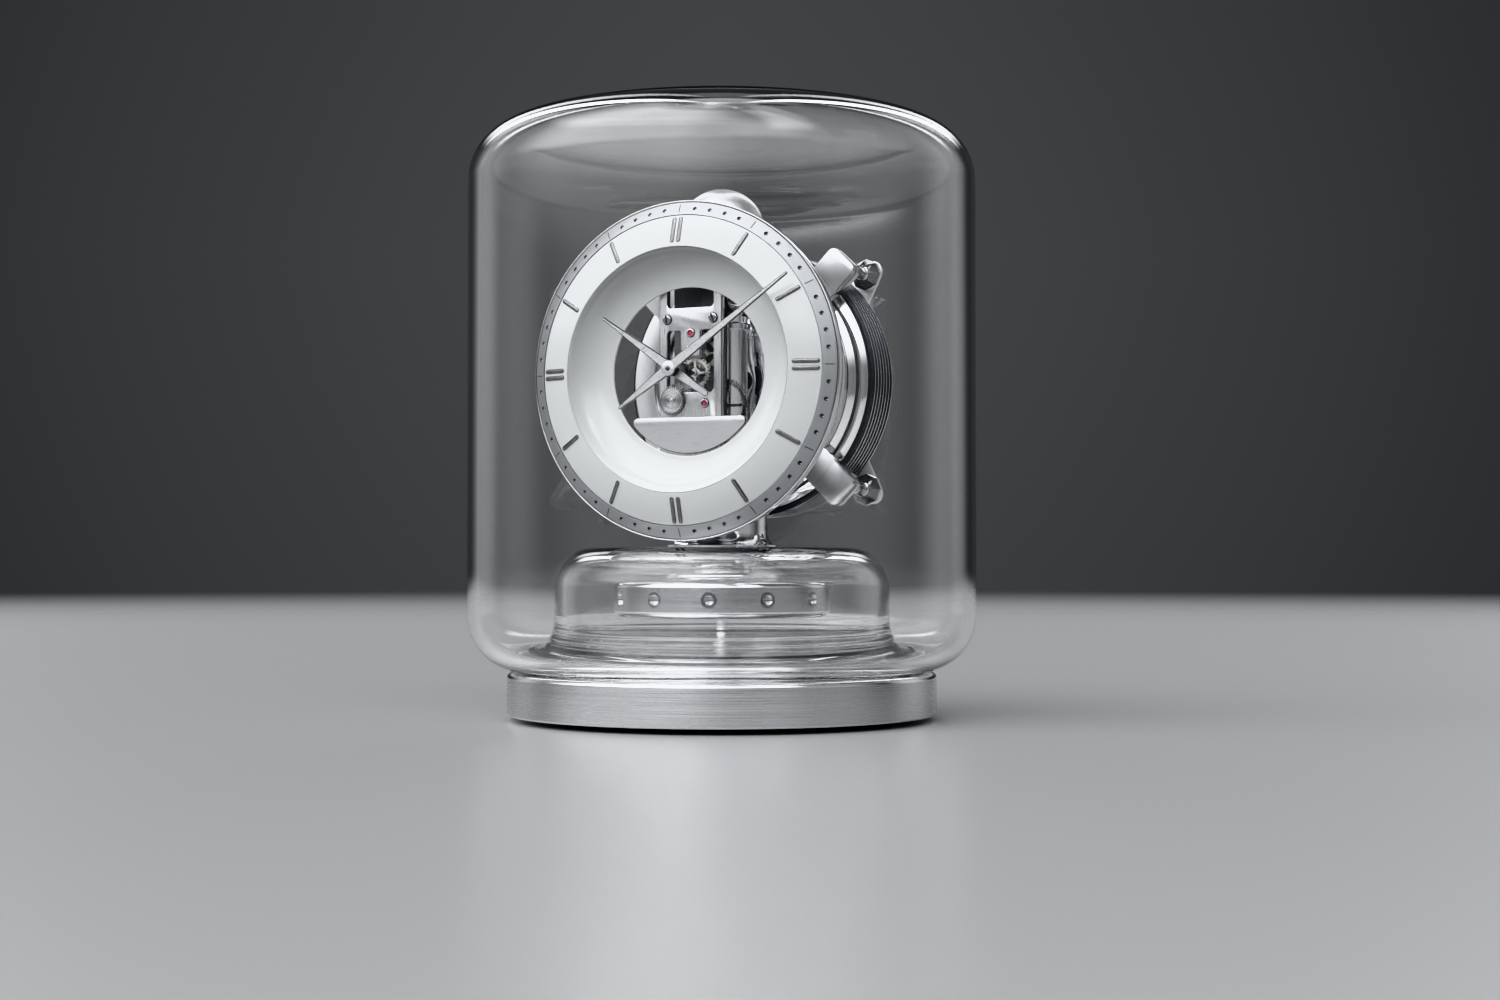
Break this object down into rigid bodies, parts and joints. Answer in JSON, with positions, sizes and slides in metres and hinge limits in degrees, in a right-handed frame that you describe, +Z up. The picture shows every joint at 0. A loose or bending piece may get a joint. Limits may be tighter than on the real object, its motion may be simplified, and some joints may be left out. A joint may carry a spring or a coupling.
{
  "type": "atmospheric clock",
  "caption": "Torsion pendulum clock driven by a sealed capsule: an open round dial stands on a glass pedestal around a slow turning balance, under a lift-off glass dome on a round base.",
  "frame": {"origin": "on the surface the clock stands on, under the middle of the round base", "axes": "+Z up, -Y out of the dial towards the viewer, +X to the right seen from the front"},
  "size_m": [0.217, 0.217, 0.2532],
  "materials": {
    "back_plate": "satin plated metal",
    "balance_ring": "polished plated metal",
    "balance_spokes": "fine brushed steel",
    "balance_stem": "polished plated metal",
    "barrel_bracket": "fine brushed steel",
    "base_cover": "satin plated metal",
    "base_ring": "fine brushed steel",
    "bellows": "satin plated metal",
    "bezel": "polished plated metal",
    "cannon_pinion": "dark blued steel",
    "capsule_dish": "polished plated metal",
    "capsule_drum": "gloss black lacquer",
    "capsule_yoke": "fine brushed steel",
    "centre_wheel": "plated brass",
    "chapter_ring": "white gloss lacquer",
    "column_foot": "polished plated metal",
    "dial_bowl": "white gloss lacquer",
    "dial_frame": "fine brushed steel",
    "ear_plate": "polished plated metal",
    "escape_jewel": "polished red jewel",
    "escape_wheel": "plated brass",
    "floor_plate": "satin plated metal",
    "front_plate": "satin plated metal",
    "glass_dome": "clear polished crystal glass",
    "glass_pedestal": "clear polished crystal glass",
    "great_wheel": "plated brass",
    "great_wheel_jewel": "polished red jewel",
    "hour_hand": "polished plated metal",
    "levelling_foot_1": "matt black",
    "levelling_foot_2": "matt black",
    "levelling_foot_3": "matt black",
    "lock_lever": "polished plated metal",
    "lock_plunger": "polished plated metal",
    "lower_bridge": "fine brushed steel",
    "minute_arbor": "polished plated metal",
    "minute_hand": "polished plated metal",
    "minute_ring": "satin plated metal",
    "motion_wheel": "plated brass",
    "pallet_lever": "polished plated metal",
    "pedestal_clamp": "polished plated metal",
    "plaque": "satin plated metal",
    "plate_screw_1": "polished plated metal",
    "plate_screw_2": "polished plated metal",
    "plate_screw_3": "polished plated metal",
    "push_plate": "fine brushed steel",
    "ratchet_wheel": "dark blued steel",
    "suspension_tube": "polished plated metal",
    "suspension_wire": "polished plated metal",
    "third_wheel": "plated brass",
    "thumb_nut_1": "polished plated metal",
    "thumb_nut_2": "polished plated metal",
    "thumb_nut_3": "polished plated metal",
    "thumb_nut_4": "polished plated metal",
    "top_cap": "polished plated metal",
    "upper_bridge": "fine brushed steel",
    "winding_barrel": "polished plated metal",
    "winding_chain": "dark blued steel",
    "wire_collet": "plated brass"
  },
  "bodies": {
    "frame": {"back_plate": "back_plate", "barrel_bracket": "barrel_bracket", "base_cover": "base_cover", "base_ring": "base_ring", "bellows": "bellows", "bezel": "bezel", "capsule_dish": "capsule_dish", "capsule_drum": "capsule_drum", "capsule_yoke": "capsule_yoke", "chapter_ring": "chapter_ring", "column_foot": "column_foot", "dial_bowl": "dial_bowl", "dial_frame": "dial_frame", "ear_plate": "ear_plate", "escape_jewel": "escape_jewel", "floor_plate": "floor_plate", "front_plate": "front_plate", "glass_pedestal": "glass_pedestal", "great_wheel_jewel": "great_wheel_jewel", "lower_bridge": "lower_bridge", "minute_ring": "minute_ring", "pedestal_clamp": "pedestal_clamp", "plaque": "plaque", "plate_screw_1": "plate_screw_1", "plate_screw_2": "plate_screw_2", "plate_screw_3": "plate_screw_3", "suspension_tube": "suspension_tube", "thumb_nut_1": "thumb_nut_1", "thumb_nut_2": "thumb_nut_2", "thumb_nut_3": "thumb_nut_3", "thumb_nut_4": "thumb_nut_4", "top_cap": "top_cap", "upper_bridge": "upper_bridge", "wire_collet": "wire_collet"},
    "dome": {"glass_dome": "glass_dome"},
    "minute_work": {"minute_hand": "minute_hand", "minute_arbor": "minute_arbor", "cannon_pinion": "cannon_pinion", "centre_wheel": "centre_wheel"},
    "hour_work": {"hour_hand": "hour_hand"},
    "motion_wheel": {"motion_wheel": "motion_wheel"},
    "third_wheel": {"third_wheel": "third_wheel"},
    "escape_wheel": {"escape_wheel": "escape_wheel"},
    "great_wheel": {"great_wheel": "great_wheel"},
    "pallets": {"pallet_lever": "pallet_lever"},
    "balance": {"balance_ring": "balance_ring", "balance_spokes": "balance_spokes", "balance_stem": "balance_stem", "suspension_wire": "suspension_wire"},
    "capsule_push": {"push_plate": "push_plate", "winding_chain": "winding_chain"},
    "barrel": {"winding_barrel": "winding_barrel", "ratchet_wheel": "ratchet_wheel"},
    "lock_lever": {"lock_lever": "lock_lever"},
    "lock_plunger": {"lock_plunger": "lock_plunger"},
    "foot_1": {"levelling_foot_1": "levelling_foot_1"},
    "foot_2": {"levelling_foot_2": "levelling_foot_2"},
    "foot_3": {"levelling_foot_3": "levelling_foot_3"}
  },
  "joints": [
    {"name": "dome_lift", "type": "slide", "parent": "frame", "child": "dome", "axis": [0, 0, 1], "range_m": [0, 0.26]},
    {"name": "minute_spin", "type": "hinge", "parent": "frame", "child": "minute_work", "pos_m": [0, -0.022, 0.1461], "axis": [0, 1, 0], "continuous": true},
    {"name": "hour_spin", "type": "hinge", "parent": "frame", "child": "hour_work", "pos_m": [0, -0.042, 0.1461], "axis": [0, 1, 0], "continuous": true},
    {"name": "motion_spin", "type": "hinge", "parent": "frame", "child": "motion_wheel", "pos_m": [-0.00808, -0.022, 0.1343], "axis": [0, 1, 0], "continuous": true},
    {"name": "third_spin", "type": "hinge", "parent": "frame", "child": "third_wheel", "pos_m": [0.0025, -0.022, 0.15454], "axis": [0, 1, 0], "continuous": true},
    {"name": "escape_spin", "type": "hinge", "parent": "frame", "child": "escape_wheel", "pos_m": [0.00028, -0.022, 0.16254], "axis": [0, 1, 0], "continuous": true},
    {"name": "great_spin", "type": "hinge", "parent": "frame", "child": "great_wheel", "pos_m": [0.00683, -0.022, 0.13297], "axis": [0, 1, 0], "continuous": true},
    {"name": "pallet_rock", "type": "hinge", "parent": "frame", "child": "pallets", "pos_m": [0.00028, -0.022, 0.17014], "axis": [0, 1, 0], "range_deg": [-8, 8]},
    {"name": "balance_swing", "type": "hinge", "parent": "frame", "child": "balance", "pos_m": [0, 0, 0.0515], "axis": [0, 0, 1], "range_deg": [-270, 270], "stiffness_Nm_per_rad": 0.000004},
    {"name": "capsule_breath", "type": "slide", "parent": "frame", "child": "capsule_push", "axis": [0, -1, 0], "range_m": [0, 0.002]},
    {"name": "barrel_spin", "type": "hinge", "parent": "frame", "child": "barrel", "pos_m": [0.0165, -0.016, 0.179], "axis": [1, 0, 0], "range_deg": [-16, 0]},
    {"name": "lock_turn", "type": "hinge", "parent": "frame", "child": "lock_lever", "pos_m": [0, 0, 0.0015], "axis": [0, 0, 1], "range_deg": [0, 40]},
    {"name": "lock_rise", "type": "slide", "parent": "frame", "child": "lock_plunger", "axis": [0, 0, 1], "range_m": [0, 0.0034]},
    {"name": "foot_1_turn", "type": "hinge", "parent": "frame", "child": "foot_1", "pos_m": [0.05369, 0.031, 0.006], "axis": [0, 0, 1], "continuous": true},
    {"name": "foot_2_turn", "type": "hinge", "parent": "frame", "child": "foot_2", "pos_m": [-0.05369, 0.031, 0.006], "axis": [0, 0, 1], "continuous": true},
    {"name": "foot_3_turn", "type": "hinge", "parent": "frame", "child": "foot_3", "pos_m": [0, -0.062, 0.006], "axis": [0, 0, 1], "continuous": true}
  ],
  "couplings": [
    {"joint": "hour_spin", "follows": "minute_spin", "ratio": 0.083333},
    {"joint": "motion_spin", "follows": "minute_spin", "ratio": -0.86667},
    {"joint": "third_spin", "follows": "minute_spin", "ratio": -3.25},
    {"joint": "escape_spin", "follows": "minute_spin", "ratio": 9.75},
    {"joint": "great_spin", "follows": "minute_spin", "ratio": -0.26087},
    {"joint": "barrel_spin", "follows": "capsule_breath", "rad_per_m": -119.05},
    {"joint": "lock_rise", "follows": "lock_turn", "m_per_rad": 0.00486}
  ]
}
